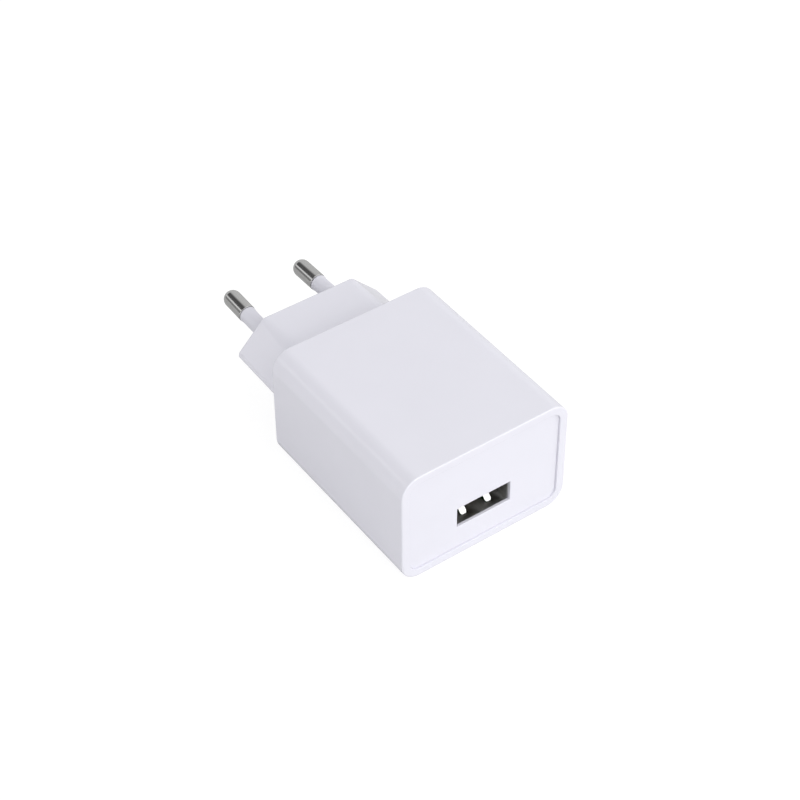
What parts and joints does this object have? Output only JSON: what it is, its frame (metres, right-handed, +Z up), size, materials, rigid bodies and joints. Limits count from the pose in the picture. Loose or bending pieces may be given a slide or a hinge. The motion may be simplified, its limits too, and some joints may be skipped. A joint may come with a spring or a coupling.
{
  "type": "usb wall charger",
  "caption": "Compact USB-A mains charger with a rounded white case and a fixed flat European plug base carrying partly sleeved pins.",
  "frame": {"origin": "on the plane of the flat underside, below the middle of the whole charger including its pins", "axes": "+Z up from the underside, +Y towards the mains pins, -Y towards the USB port, +X to the right seen from the port"},
  "size_m": [0.04, 0.0804, 0.0272],
  "materials": {
    "white_plastic": "satin moulded, cool white",
    "sleeve_plastic": "satin moulded, slightly greyer white",
    "carrier_plastic": "matte moulded, off-white",
    "black_plastic": "matte moulded, black",
    "board_laminate": "solder-masked glass laminate, green",
    "ferrite": "sintered ferrite, dark grey",
    "yellow_tape": "polyester tape, yellow",
    "copper_wire": "enamelled copper wire",
    "capacitor_sleeve": "shrink sleeve, dark blue-black",
    "blue_ceramic": "dipped epoxy, blue",
    "resistor_body": "lacquered, pale blue",
    "ceramic_tan": "fired ceramic, tan",
    "tinned_steel": "tin-plated sheet",
    "nickel": "bright nickel plating, drawn lengthwise",
    "spring_bronze": "phosphor bronze strip",
    "gilded": "flash gold plating"
  },
  "bodies": {
    "root": {"case_body": "white_plastic", "front_cover": "white_plastic", "mains_pin_left": "nickel", "mains_pin_right": "nickel", "pin_sleeve_left": "sleeve_plastic", "pin_sleeve_right": "sleeve_plastic", "pin_carrier": "carrier_plastic", "contact_spring_left": "spring_bronze", "contact_spring_right": "spring_bronze", "usb_shell": "tinned_steel", "usb_tongue": "black_plastic", "usb_contact_1": "gilded", "usb_contact_2": "gilded", "usb_contact_3": "gilded", "usb_contact_4": "gilded", "circuit_board": "board_laminate", "transformer_core_left": "ferrite", "transformer_core_right": "ferrite", "transformer_bobbin": "black_plastic", "transformer_winding": "yellow_tape", "transformer_tape": "yellow_tape", "input_capacitor_1": "capacitor_sleeve", "input_capacitor_2": "capacitor_sleeve", "output_capacitor_1": "capacitor_sleeve", "output_capacitor_2": "capacitor_sleeve", "safety_capacitor": "blue_ceramic", "fuse_resistor": "resistor_body", "filter_inductor_core": "ferrite", "filter_inductor_winding": "copper_wire", "bridge_rectifier": "black_plastic", "output_diode": "black_plastic", "controller_chip": "black_plastic", "snubber_resistor": "black_plastic", "snubber_capacitor": "ceramic_tan", "sense_resistor": "black_plastic", "feedback_resistor": "black_plastic"}
  },
  "joints": []
}
